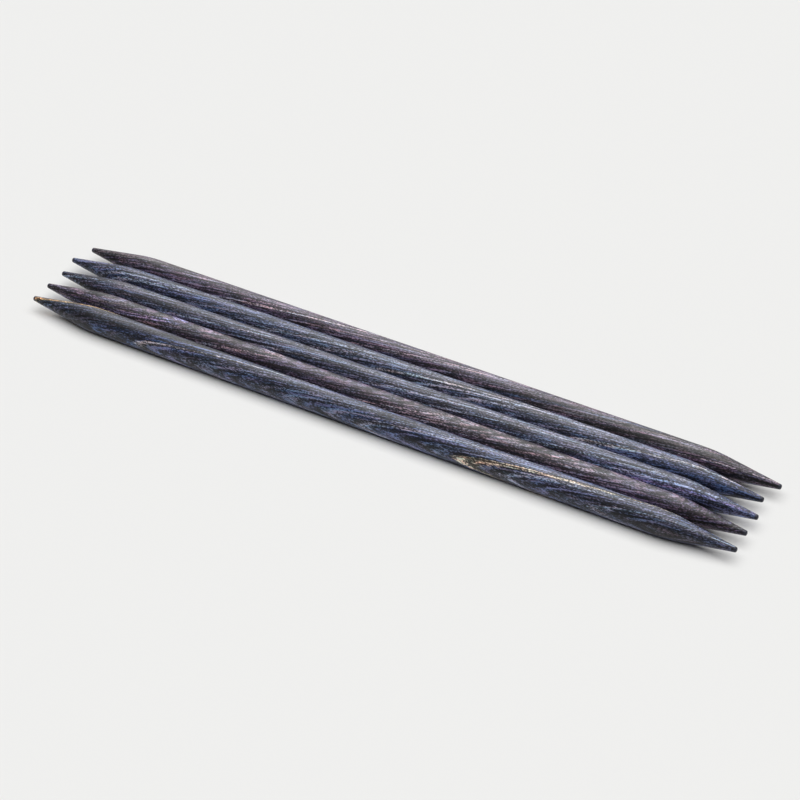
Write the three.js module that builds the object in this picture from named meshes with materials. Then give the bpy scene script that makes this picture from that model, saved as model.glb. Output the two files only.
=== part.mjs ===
import * as THREE from 'three';

// A set of double pointed knitting needles, laid side by side in a row.
// Each needle is one stick of laminated, dyed wood, turned to the same taper
// at both ends. Units are millimetres. +X runs along the needles, +Y goes from
// the front needle to the back one and +Z is up. The origin is under the
// middle of the row, on the surface that the needles lie on.

// One needle
const NEEDLE_LENGTH = 200;
const SHANK_RADIUS = 3.25;
const POINT_FACE_RADIUS = 0.28;
const POINT_EDGE_RADIUS = 0.38;
const CONE_ANGLE = THREE.MathUtils.degToRad(8.5);
const SHOULDER_RADIUS = 47;

// The row: clearance between neighbours, and how far each needle is pushed
// along +X, from the front needle to the back one
const NEEDLE_GAP = 0.05;
const NEEDLE_SHIFTS = [1.0, 0.6, 0.5, -1.0, 0.7];
const NEEDLE_PITCH = 2 * SHANK_RADIUS + NEEDLE_GAP;

// Facets: a multiple of four sides puts flats at the bottom, top, front and back
const SIDES = 32;
const POINT_STEPS = 4;
const SHOULDER_STEPS = 6;
const SHANK_STEPS = 6;

const LACQUERED_WOOD = { roughness: 0.38, metalness: 0 };
const DYE_COLOURS = [0x63667f, 0x6f6573, 0x5a5c6e, 0x5a6079, 0x776a73];

// Half of a needle's outline, as (radius, distance from the tip): a blunt
// point, a straight cone and a long shoulder arc that runs into the shank.
function taperOutline() {
  // The point is a small flat face that starts on the axis.
  const outline = [new THREE.Vector2(0, 0)];

  // Its rounded edge starts flush with the face and ends tangent to the cone.
  const edgeArc = Math.PI / 2 - CONE_ANGLE;
  for (let step = 0; step <= POINT_STEPS; step += 1) {
    const turn = (edgeArc * step) / POINT_STEPS;
    const radius = POINT_FACE_RADIUS + POINT_EDGE_RADIUS * Math.sin(turn);
    const distance = POINT_EDGE_RADIUS * (1 - Math.cos(turn));
    outline.push(new THREE.Vector2(radius, distance));
  }

  // The cone, drawn on, would meet the shank at this corner.
  const coneStart = outline[outline.length - 1];
  const coneRise = SHANK_RADIUS - coneStart.x;
  const corner = coneStart.y + coneRise / Math.tan(CONE_ANGLE);

  // The shoulder arc is tangent to the cone and to the shank.
  const shoulderEnd = corner + SHOULDER_RADIUS * Math.tan(CONE_ANGLE / 2);
  for (let step = 0; step <= SHOULDER_STEPS; step += 1) {
    const turn = CONE_ANGLE * (1 - step / SHOULDER_STEPS);
    const radius = SHANK_RADIUS - SHOULDER_RADIUS * (1 - Math.cos(turn));
    const distance = shoulderEnd - SHOULDER_RADIUS * Math.sin(turn);
    outline.push(new THREE.Vector2(radius, distance));
  }
  return outline;
}

// The whole outline, from one tip to the other, with a few rings along the
// straight shank that keep its facets short.
function needleOutline() {
  const taper = taperOutline();
  const shankStart = taper[taper.length - 1].y;
  const shankLength = NEEDLE_LENGTH - 2 * shankStart;
  const outline = [...taper];
  for (let step = 1; step < SHANK_STEPS; step += 1) {
    const distance = shankStart + (shankLength * step) / SHANK_STEPS;
    outline.push(new THREE.Vector2(SHANK_RADIUS, distance));
  }
  for (const point of [...taper].reverse()) {
    outline.push(new THREE.Vector2(point.x, NEEDLE_LENGTH - point.y));
  }
  return outline;
}

// A needle along X, centred on the origin. Its facets touch the true round
// surface from outside, so it measures the full diameter across its flats.
function needleGeometry() {
  const acrossCorners = 1 / Math.cos(Math.PI / SIDES);
  const outline = needleOutline().map(
    (point) => new THREE.Vector2(point.x * acrossCorners, point.y - NEEDLE_LENGTH / 2),
  );
  const halfFacet = Math.PI / SIDES;
  const geometry = new THREE.LatheGeometry(outline, SIDES, halfFacet);
  geometry.rotateZ(-Math.PI / 2);
  return geometry;
}

// The needles are named needle_1 to needle_5, from the front to the back.
function needleRow() {
  const row = new THREE.Group();
  const middle = (NEEDLE_SHIFTS.length - 1) / 2;
  NEEDLE_SHIFTS.forEach((shift, index) => {
    const wood = new THREE.MeshStandardMaterial({ ...LACQUERED_WOOD, color: DYE_COLOURS[index] });
    const needle = new THREE.Mesh(needleGeometry(), wood);
    needle.name = `needle_${index + 1}`;
    needle.position.set(shift, (index - middle) * NEEDLE_PITCH, SHANK_RADIUS);
    row.add(needle);
  });
  return row;
}

export default needleRow();
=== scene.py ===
"""Five double pointed knitting needles in laminated dyed wood, in a row on a pale floor.

Each needle is a smooth turned stick that replaces its faceted CAD solid. Its wood
is a solid pattern: a stack of dyed veneers that crosses the needle at a shallow
angle, so that a veneer shows as a long slanted streak or a pointed lens.
Lengths are in metres unless a name ends in _MM.
"""
import math

import bmesh
import bpy
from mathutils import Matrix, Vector, noise


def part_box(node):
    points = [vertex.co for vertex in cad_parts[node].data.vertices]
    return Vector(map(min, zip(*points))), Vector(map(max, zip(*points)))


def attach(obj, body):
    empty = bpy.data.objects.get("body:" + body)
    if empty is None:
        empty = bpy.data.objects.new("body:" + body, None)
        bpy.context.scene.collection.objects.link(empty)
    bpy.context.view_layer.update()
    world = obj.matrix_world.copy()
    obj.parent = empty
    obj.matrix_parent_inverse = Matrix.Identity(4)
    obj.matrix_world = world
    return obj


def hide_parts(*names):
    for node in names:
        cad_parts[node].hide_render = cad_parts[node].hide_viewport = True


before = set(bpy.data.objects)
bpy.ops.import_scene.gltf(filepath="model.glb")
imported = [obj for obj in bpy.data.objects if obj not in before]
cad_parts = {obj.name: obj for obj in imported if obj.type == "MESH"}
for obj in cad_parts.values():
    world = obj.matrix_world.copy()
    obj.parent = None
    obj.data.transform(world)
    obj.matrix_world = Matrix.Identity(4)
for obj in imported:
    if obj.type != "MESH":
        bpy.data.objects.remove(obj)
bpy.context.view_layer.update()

MM = 0.001

# One needle's outline: the radii of its end face, of that face's rounded edge and of
# the shoulder. The length and the shank's radius come from the CAD box.
POINT_FACE_MM = 0.28
POINT_EDGE_MM = 0.38
CONE_ANGLE = math.radians(8.5)
SHOULDER_MM = 47.0

# Mesh steps round the needle and along each stretch of its outline
SIDES = 80
EDGE_STEPS = 5
CONE_STEPS = 16
SHOULDER_STEPS = 12
SHANK_STEPS = 60

# A turned surface isn't quite true. RIPPLE_SHIFT is how far apart the needles lie in
# the ripple's noise for each millimetre between them, so that no two are alike.
RIPPLE_MM = 0.008
RIPPLE_LENGTH_MM = 14.0
RIPPLE_SHIFT = 3.0

# The veneers. Each needle is sawn at a small slope to a stack of dyed sheets. A sheet
# is clear of its neighbours' dye up to CLEAR from its middle and soaked from SOAKED
# on, as parts of its thickness.
STACK_HALF_MM = 14.0
EDGE_SOFT_MM = 0.08
CLEAR = 0.16
SOAKED = 0.40

# The wood's texture is noise, with its frequency per millimetre along the fibres,
# across them in the sheet, and through the stack
LAYERS = (0.045, 0.42, 3.4)
FIBRES = (0.25, 3.6, 3.6)
FLECKS = (1.7, 4.6, 4.6)
TINGE = (0.17, 1.0, 2.9)
WAVE = (0.035, 0.16, 0.16)
TORN = (0.36, 2.8, 3.2)

# How far a sheet's waves and torn edges take it out of its place
WAVE_MM = 0.5
TORN_MM = 0.65

# The grain's make-up, and the spans of it that act on the colour and on the lacquer
LAYER_SHARE = 0.39
FIBRE_SHARE = 0.19
FLECK_SHARE = 0.42
COLOUR_SPAN = (0.43, 0.57)
LACQUER_SPAN = (0.35, 0.65)

# How far the grain darkens and lightens the dye, as powers of e, and how its hue varies
GRAIN_DARK = 2.35
GRAIN_LIGHT = 1.1
TINGE_SPAN = (0.36, 0.64)
COOL_TINGE = (0.79, 1.03, 1.10, 1)
WARM_TINGE = (1.17, 0.96, 0.93, 1)

# How far in from a cut end the wood is darker
END_DARK_MM = 0.9

# The satin lacquer, which is rougher over the dark grain, and the grain's relief
ROUGHNESS_DARK = 0.60
ROUGHNESS_LIGHT = 0.34
LACQUER_SPECULAR = 0.42
RELIEF_MM = 0.08

# Dyes, as linear colours
DYES = {
    "night": (0.030, 0.032, 0.050),
    "graphite": (0.052, 0.048, 0.070),
    "slate": (0.056, 0.061, 0.105),
    "navy": (0.042, 0.056, 0.118),
    "indigo": (0.080, 0.090, 0.172),
    "steel": (0.098, 0.106, 0.165),
    "mist": (0.172, 0.182, 0.246),
    "sky": (0.190, 0.220, 0.340),
    "violet": (0.160, 0.145, 0.310),
    "lilac": (0.185, 0.150, 0.265),
    "umber": (0.066, 0.054, 0.065),
    "plum": (0.068, 0.050, 0.084),
    "mauve": (0.118, 0.091, 0.134),
    "rose": (0.190, 0.146, 0.184),
    "blush": (0.270, 0.216, 0.254),
    "silver": (0.290, 0.275, 0.305),
    "cream": (0.410, 0.325, 0.255),
    "tan": (0.560, 0.350, 0.175),
    "olive": (0.120, 0.106, 0.080),
}

# Each needle's wood. roll and slope turn the stack about and against the needle's
# axis, in degrees. sheets lists the dyes of the veneers from one end of the stack
# to the other, each as thick as pitch, starting with its middle at first. ground is
# the darker dye that soaks their glued faces, at distances along the stack, and
# accents are thin single veneers that stand out: (distance, thickness, dye).
# Distances are in millimetres from the needle's middle. seed is how far along the
# noise the needle's texture lies, so that no two are alike.
WOODS = {
    "needle_1": {
        "roll": 183, "slope": -5.45, "seed": 187, "pitch": 0.93, "first": -12.66,
        "sheets": """graphite graphite graphite slate slate indigo mist steel steel indigo mist
            steel steel steel indigo steel indigo navy navy night night slate
            steel olive slate slate""",
        "ground": [(-11, "slate"), (-7, "slate"), (-3, "navy"), (1, "slate"), (5, "night")],
        "accents": [
            (-9.4, 0.20, "mist"),
            (-6.15, 0.54, "cream"),
            (0.75, 0.30, "steel"),
            (2.85, 0.18, "silver"),
            (9.05, 0.40, "tan"),
        ],
    },
    "needle_2": {
        "roll": 102, "slope": -6.15, "seed": 391, "pitch": 1.0, "first": -12.6,
        "sheets": """umber plum plum umber plum plum plum mauve mauve rose rose plum rose
            rose plum mauve plum plum plum plum plum mauve violet plum mauve umber""",
        "ground": [(-8, "plum"), (-4, "plum"), (0, "umber"), (4, "plum"), (9, "umber")],
        "accents": [
            (-2.65, 0.30, "rose"),
            (-1.5, 0.35, "rose"),
            (0.45, 0.40, "rose"),
            (1.05, 0.20, "blush"),
            (6.3, 0.40, "rose"),
            (9.35, 0.60, "lilac"),
        ],
    },
    "needle_3": {
        "roll": 164, "slope": -5.35, "seed": 629, "pitch": 0.915, "first": -11.75,
        "sheets": """navy navy indigo violet sky indigo mist steel slate mist steel mist steel slate
            mist steel slate steel steel graphite slate steel mist slate mist slate""",
        "ground": [(-10, "indigo"), (-7, "slate"), (-3, "slate"), (2, "slate"), (8, "graphite")],
        "accents": [
            (-8.05, 0.30, "sky"),
            (-6.35, 0.25, "mist"),
            (3.8, 0.30, "mist"),
        ],
    },
    "needle_4": {
        "roll": 183, "slope": -5.45, "seed": 697, "pitch": 1.10, "first": -12.55,
        "sheets": """navy navy navy indigo mist steel steel mist mist mist steel steel
            mist steel steel indigo mist mist steel indigo steel mist slate slate""",
        "ground": [(-10, "navy"), (-6, "slate"), (-1, "slate"), (4, "navy"), (9, "slate")],
        "accents": [
            (-8.15, 0.40, "silver"),
            (-2.65, 0.22, "silver"),
            (-0.8, 0.35, "mist"),
        ],
    },
    "needle_5": {
        "roll": 157, "slope": -5.90, "seed": 1003, "pitch": 1.01, "first": -12.61,
        "sheets": """umber umber umber plum umber umber mauve umber slate mauve mauve plum
            rose mauve rose plum rose mauve mauve plum mauve plum umber plum umber umber""",
        "ground": [(-10, "plum"), (-7, "umber"), (0, "plum"), (5, "plum"), (9, "umber")],
        "accents": [
            (-9.5, 0.22, "blush"),
            (-0.8, 0.30, "rose"),
            (1.5, 0.30, "rose"),
            (3.55, 0.40, "blush"),
        ],
    },
}

# The photograph's view, in degrees. Azimuths run from -Y towards +X. The lens and the
# sensor are in millimetres.
CAMERA_AZIMUTH = 30.35
CAMERA_ELEVATION = 37.1
CAMERA_DISTANCE = 0.6136
CAMERA_TARGET = Vector((0.0036, 0.0008, 0.0))
CAMERA_LENS = 110.8
CAMERA_SENSOR = 36
CAMERA_CLIP = 0.01

# The studio. The backdrop's glow makes it as pale as the lit floor. The softboxes'
# angles are in degrees and their powers in watts.
PAPER = (0.80, 0.80, 0.79, 1)
BLACK = (0, 0, 0, 1)
WHITE = (1, 1, 1, 1)
FLOOR_SIZE = 8.0
BACKDROP_RADIUS = 8.0
BACKDROP_SEGMENTS = 48
BACKDROP_RINGS = 24
BACKDROP_GLOW = 1.08
ROOM_GLOW = 0.05
TOP_SOFTBOX = {
    "azimuth": 180, "elevation": 90, "distance": 9.0, "width": 13.8, "height": 13.8, "power": 1462,
}
BACK_SOFTBOX = {
    "azimuth": 206, "elevation": 54, "distance": 2.5, "width": 1.5, "height": 3.8, "power": 96,
}
FILL_SOFTBOX = {
    "azimuth": 180, "elevation": 90, "distance": 3.0, "width": 4.6, "height": 4.6, "power": 42,
}


def taper_outline(radius):
    """Half of the outline, as (radius, distance from the tip), in millimetres."""
    outline = [(0.0, 0.0)]
    edge_arc = math.pi / 2 - CONE_ANGLE
    for step in range(EDGE_STEPS + 1):
        turn = edge_arc * step / EDGE_STEPS
        across = POINT_FACE_MM + POINT_EDGE_MM * math.sin(turn)
        along = POINT_EDGE_MM * (1 - math.cos(turn))
        outline.append((across, along))

    cone_radius, cone_start = outline[-1]
    corner = cone_start + (radius - cone_radius) / math.tan(CONE_ANGLE)
    shoulder_end = corner + SHOULDER_MM * math.tan(CONE_ANGLE / 2)
    shoulder_start = shoulder_end - SHOULDER_MM * math.sin(CONE_ANGLE)
    for step in range(1, CONE_STEPS):
        along = cone_start + (shoulder_start - cone_start) * step / CONE_STEPS
        outline.append((cone_radius + (along - cone_start) * math.tan(CONE_ANGLE), along))
    for step in range(SHOULDER_STEPS + 1):
        turn = CONE_ANGLE * (1 - step / SHOULDER_STEPS)
        across = radius - SHOULDER_MM * (1 - math.cos(turn))
        outline.append((across, shoulder_end - SHOULDER_MM * math.sin(turn)))
    return outline


def needle_outline(radius, length):
    """The whole outline, from one tip to the other, in millimetres."""
    taper = taper_outline(radius)
    shank_start = taper[-1][1]
    shank = length - 2 * shank_start
    middle = [(radius, shank_start + shank * step / SHANK_STEPS) for step in range(1, SHANK_STEPS)]
    return taper + middle + [(across, length - along) for across, along in reversed(taper)]


def needle_mesh(name, low, high):
    """A closed, smooth turned stick that fills the CAD box from low to high."""
    centre = (low + high) / 2
    radius = (high.z - low.z) / 2 / MM
    length = (high.x - low.x) / MM
    outline = needle_outline(radius, length)
    shift = Vector((0.0, centre.y / MM * RIPPLE_SHIFT, 0.0))

    def place(across, along, turn):
        offset = Vector((along - length / 2, across * math.cos(turn), across * math.sin(turn)))
        ripple = noise.noise(offset / RIPPLE_LENGTH_MM + shift) * RIPPLE_MM * across / radius
        offset.y += ripple * math.cos(turn)
        offset.z += ripple * math.sin(turn)
        return centre + offset * MM

    vertices = [place(0.0, 0.0, 0.0)]
    rings = outline[1:-1]
    for across, along in rings:
        vertices += [place(across, along, 2 * math.pi * side / SIDES) for side in range(SIDES)]
    vertices.append(place(0.0, length, 0.0))

    faces = []
    last = len(vertices) - 1
    last_ring = 1 + (len(rings) - 1) * SIDES
    for side in range(SIDES):
        after = (side + 1) % SIDES
        faces.append((0, 1 + after, 1 + side))
        faces.append((last, last_ring + side, last_ring + after))
        for ring in range(len(rings) - 1):
            start = 1 + ring * SIDES
            faces.append((start + side, start + after, start + SIDES + after, start + SIDES + side))

    mesh = bpy.data.meshes.new(name)
    mesh.from_pydata(vertices, [], faces)
    mesh.validate()
    for polygon in mesh.polygons:
        polygon.use_smooth = True
    return mesh


class Nodes:
    """Short calls that add linked shader nodes to one material."""

    def __init__(self, material):
        self.tree = material.node_tree

    def add(self, kind, inputs=None, **settings):
        node = self.tree.nodes.new(kind)
        for key, value in settings.items():
            setattr(node, key, value)
        for key, value in (inputs or {}).items():
            if isinstance(value, bpy.types.NodeSocket):
                self.tree.links.new(value, node.inputs[key])
            else:
                node.inputs[key].default_value = value
        return node

    def math(self, operation, *values):
        return self.add("ShaderNodeMath", dict(enumerate(values)), operation=operation).outputs[0]

    def ramp(self, factor, stops, interpolation="LINEAR"):
        node = self.add("ShaderNodeValToRGB", {"Fac": factor})
        node.color_ramp.interpolation = interpolation
        elements = node.color_ramp.elements
        while len(elements) > 1:
            elements.remove(elements[-1])
        elements[0].position = stops[0][0]
        elements[0].color = stops[0][1]
        for position, colour in stops[1:]:
            elements.new(position).color = colour
        return node

    def mix(self, factor, first, second, blend="MIX"):
        node = self.add("ShaderNodeMix", data_type="RGBA", blend_type=blend)
        for socket, value in ((0, factor), (6, first), (7, second)):
            if isinstance(value, bpy.types.NodeSocket):
                self.tree.links.new(value, node.inputs[socket])
            else:
                node.inputs[socket].default_value = value
        return node.outputs[2]

    def stretched_noise(self, place, frequency, detail=2):
        """Noise from 0 to 1, with its own frequency along each axis."""
        scaled = self.add("ShaderNodeVectorMath", {0: place, 1: frequency}, operation="MULTIPLY")
        return self.add(
            "ShaderNodeTexNoise", {"Vector": scaled.outputs[0], "Scale": 1.0, "Detail": detail}
        ).outputs["Fac"]

    def wander(self, value, place, frequency, reach):
        """The value moved up and down by noise, by half of reach at the most."""
        swing = self.math("SUBTRACT", self.stretched_noise(place, frequency), 0.5)
        return self.math("MULTIPLY_ADD", swing, reach, value)

    def smooth_step(self, value, low, high):
        """From 0 where the value is low to 1 where it is high, with soft ends."""
        return self.add(
            "ShaderNodeMapRange",
            {"Value": value, "From Min": low, "From Max": high},
            interpolation_type="SMOOTHSTEP",
        ).outputs[0]

    def spread(self, value, low, high, new_low, new_high):
        """The span from low to high made to run from new_low to new_high."""
        return self.add(
            "ShaderNodeMapRange",
            {"Value": value, "From Min": low, "From Max": high, "To Min": new_low, "To Max": new_high},
        ).outputs[0]


def stack_position(distance):
    """A distance along the stack as a place on a colour ramp, from 0 to 1."""
    return 0.5 + distance / (2 * STACK_HALF_MM)


def dye(name, alpha=1.0):
    """A dye as a colour with alpha, which is 0 where an accent fades out."""
    return (*DYES[name], alpha)


def dyed_stack(nodes, wood, level):
    """The colour of the veneers at a distance along the stack."""
    ramp_place = nodes.spread(level, -STACK_HALF_MM, STACK_HALF_MM, 0, 1)
    ground = nodes.ramp(
        ramp_place, [(stack_position(at), dye(colour)) for at, colour in wood["ground"]]
    ).outputs["Color"]

    names = wood["sheets"].split()
    start = wood["first"] - wood["pitch"] / 2
    edges = [stack_position(start + wood["pitch"] * count) for count in range(len(names))]
    sheets = nodes.ramp(
        ramp_place, [(edge, dye(colour)) for edge, colour in zip(edges, names)], "CONSTANT"
    ).outputs["Color"]
    sheets_in = nodes.math("DIVIDE", nodes.math("SUBTRACT", level, start), wood["pitch"])
    into_sheet = nodes.math("FRACT", sheets_in)
    from_core = nodes.math("ABSOLUTE", nodes.math("SUBTRACT", into_sheet, 0.5))
    core = nodes.smooth_step(from_core, SOAKED, CLEAR)
    colour = nodes.mix(core, ground, sheets)

    stops = []
    for at, thickness, accent in wood["accents"]:
        half = thickness / 2
        stops.append((stack_position(at - half - EDGE_SOFT_MM), dye(accent, 0)))
        stops.append((stack_position(at - half), dye(accent)))
        stops.append((stack_position(at + half), dye(accent)))
        stops.append((stack_position(at + half + EDGE_SOFT_MM), dye(accent, 0)))
    accents = nodes.ramp(ramp_place, stops)
    return nodes.mix(accents.outputs["Alpha"], colour, accents.outputs["Color"])


def veneer_wood(name, wood, centre, half_length):
    """Laminated dyed wood under satin lacquer, as a solid pattern."""
    material = bpy.data.materials.new(name + "_wood")
    material.use_nodes = True
    nodes = Nodes(material)
    shader = nodes.tree.nodes["Principled BSDF"]

    # u runs along the fibres, v across them in the sheet, w through the stack.
    here = nodes.add("ShaderNodeTexCoord").outputs["Object"]
    from_middle = nodes.add(
        "ShaderNodeVectorMath", {0: here, 1: centre}, operation="SUBTRACT"
    ).outputs[0]
    rotation = (math.radians(wood["roll"] - 90), -math.radians(wood["slope"]), 0)
    stack = nodes.add(
        "ShaderNodeMapping",
        {"Vector": from_middle, "Rotation": rotation, "Scale": (1 / MM,) * 3},
    ).outputs[0]
    place = nodes.add(
        "ShaderNodeVectorMath", {0: stack, 1: (wood["seed"], 0, 0)}, operation="ADD"
    ).outputs[0]
    through = nodes.add("ShaderNodeSeparateXYZ", {0: stack}).outputs["Z"]

    # Sheets aren't quite flat, and their edges are torn along the fibres.
    wavy = nodes.wander(through, place, WAVE, WAVE_MM)
    level = nodes.wander(wavy, place, TORN, TORN_MM)
    dyed = dyed_stack(nodes, wood, level)

    # The grain is fine layers that lie flat in the sheets, long fibres and short flecks.
    layers = nodes.math("MULTIPLY", nodes.stretched_noise(place, LAYERS), LAYER_SHARE)
    flecks = nodes.math("MULTIPLY", nodes.stretched_noise(place, FLECKS), FLECK_SHARE)
    fibres = nodes.stretched_noise(place, FIBRES, detail=1)
    grain = nodes.math("ADD", layers, nodes.math("MULTIPLY_ADD", fibres, FIBRE_SHARE, flecks))
    depth = nodes.spread(grain, *COLOUR_SPAN, -GRAIN_DARK, GRAIN_LIGHT)
    shaded = nodes.mix(1.0, dyed, nodes.math("EXPONENT", depth), "MULTIPLY")

    cool, warm = TINGE_SPAN
    tinge = nodes.stretched_noise(place, TINGE)
    tint = nodes.ramp(tinge, [(cool, COOL_TINGE), (warm, WARM_TINGE)]).outputs["Color"]
    coloured = nodes.mix(1.0, shaded, tint, "MULTIPLY")

    # The cut ends soak up more dye.
    along = nodes.add("ShaderNodeSeparateXYZ", {0: from_middle}).outputs["X"]
    to_end = nodes.math("SUBTRACT", half_length, nodes.math("ABSOLUTE", along))
    end_grain = nodes.smooth_step(to_end, END_DARK_MM * MM, END_DARK_MM * MM / 2)
    finished = nodes.mix(end_grain, coloured, dye("night"))

    relief = {"Strength": 1.0, "Distance": RELIEF_MM * MM, "Height": grain}
    bump = nodes.add("ShaderNodeBump", relief).outputs[0]
    roughness = nodes.spread(grain, *LACQUER_SPAN, ROUGHNESS_DARK, ROUGHNESS_LIGHT)
    nodes.tree.links.new(finished, shader.inputs["Base Color"])
    nodes.tree.links.new(roughness, shader.inputs["Roughness"])
    nodes.tree.links.new(bump, shader.inputs["Normal"])
    shader.inputs["Specular IOR Level"].default_value = LACQUER_SPECULAR
    return material


def make_needles():
    needles = []
    for name, wood in WOODS.items():
        low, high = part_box(name)
        needle = bpy.data.objects.new(name + "_turned", needle_mesh(name, low, high))
        bpy.context.scene.collection.objects.link(needle)
        centre = (low + high) / 2
        half_length = (high.x - low.x) / 2
        needle.data.materials.append(veneer_wood(name, wood, centre, half_length))
        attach(needle, name)
        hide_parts(name)
        needles.append(needle)
    return needles


def matte(name, colour, glow=BLACK, glow_strength=0.0):
    """A material with no gloss, which may give off light of its own."""
    material = bpy.data.materials.new(name)
    material.use_nodes = True
    shader = material.node_tree.nodes["Principled BSDF"]
    shader.inputs["Base Color"].default_value = colour
    shader.inputs["Roughness"].default_value = 1.0
    shader.inputs["Specular IOR Level"].default_value = 0.0
    shader.inputs["Emission Color"].default_value = glow
    shader.inputs["Emission Strength"].default_value = glow_strength
    return material


def make_floor():
    half = FLOOR_SIZE / 2
    corners = [(-half, -half, 0), (half, -half, 0), (half, half, 0), (-half, half, 0)]
    mesh = bpy.data.meshes.new("floor")
    mesh.from_pydata(corners, [], [(0, 1, 2, 3)])
    mesh.materials.append(matte("floor_paper", PAPER))
    floor = bpy.data.objects.new("floor", mesh)
    bpy.context.scene.collection.objects.link(floor)
    return floor


def make_backdrop():
    """A pale sphere round everything. Only the camera sees it, so it lights nothing."""
    mesh = bpy.data.meshes.new("backdrop")
    sphere = bmesh.new()
    bmesh.ops.create_uvsphere(
        sphere, u_segments=BACKDROP_SEGMENTS, v_segments=BACKDROP_RINGS, radius=BACKDROP_RADIUS
    )
    sphere.to_mesh(mesh)
    sphere.free()
    mesh.materials.append(matte("backdrop_paper", BLACK, PAPER, BACKDROP_GLOW))
    backdrop = bpy.data.objects.new("backdrop", mesh)
    bpy.context.scene.collection.objects.link(backdrop)
    for rays in ("diffuse", "glossy", "transmission", "volume_scatter", "shadow"):
        setattr(backdrop, "visible_" + rays, False)


def aim(rig, target, azimuth, elevation, distance):
    """Place a camera or lamp at a distance from its target, looking at it."""
    turn = math.radians(azimuth)
    lift = math.radians(elevation)
    level = math.cos(lift)
    back = Vector((math.sin(turn) * level, -math.cos(turn) * level, math.sin(lift)))
    rig.location = target + back * distance
    rig.rotation_euler = (-back).to_track_quat("-Z", "Y").to_euler()
    bpy.context.scene.collection.objects.link(rig)


def make_softbox(name, lit, azimuth, elevation, distance, width, height, power):
    """An area light aimed at the middle of the row, which reaches only the objects in lit."""
    light = bpy.data.lights.new(name, "AREA")
    light.shape = "RECTANGLE"
    light.size = width
    light.size_y = height
    light.energy = power
    lamp = bpy.data.objects.new(name, light)
    aim(lamp, Vector((0, 0, 0)), azimuth, elevation, distance)
    reach = bpy.data.collections.new(name + "_reach")
    for lit_object in lit:
        reach.objects.link(lit_object)
    lamp.light_linking.receiver_collection = reach


def make_light(floor, needles):
    world = bpy.data.worlds.new("studio")
    bpy.context.scene.world = world
    world.use_nodes = True
    background = world.node_tree.nodes["Background"]
    background.inputs["Color"].default_value = WHITE
    background.inputs["Strength"].default_value = ROOM_GLOW
    make_softbox("top_softbox", [floor], **TOP_SOFTBOX)
    make_softbox("back_softbox", needles, **BACK_SOFTBOX)
    make_softbox("fill_softbox", needles, **FILL_SOFTBOX)


def make_camera():
    camera = bpy.data.cameras.new("camera")
    camera.lens = CAMERA_LENS
    camera.sensor_width = CAMERA_SENSOR
    camera.clip_start = CAMERA_CLIP
    rig = bpy.data.objects.new("camera", camera)
    aim(rig, CAMERA_TARGET, CAMERA_AZIMUTH, CAMERA_ELEVATION, CAMERA_DISTANCE)
    bpy.context.scene.camera = rig


bpy.context.scene.view_settings.view_transform = "Standard"
make_camera()
make_backdrop()
make_light(make_floor(), make_needles())
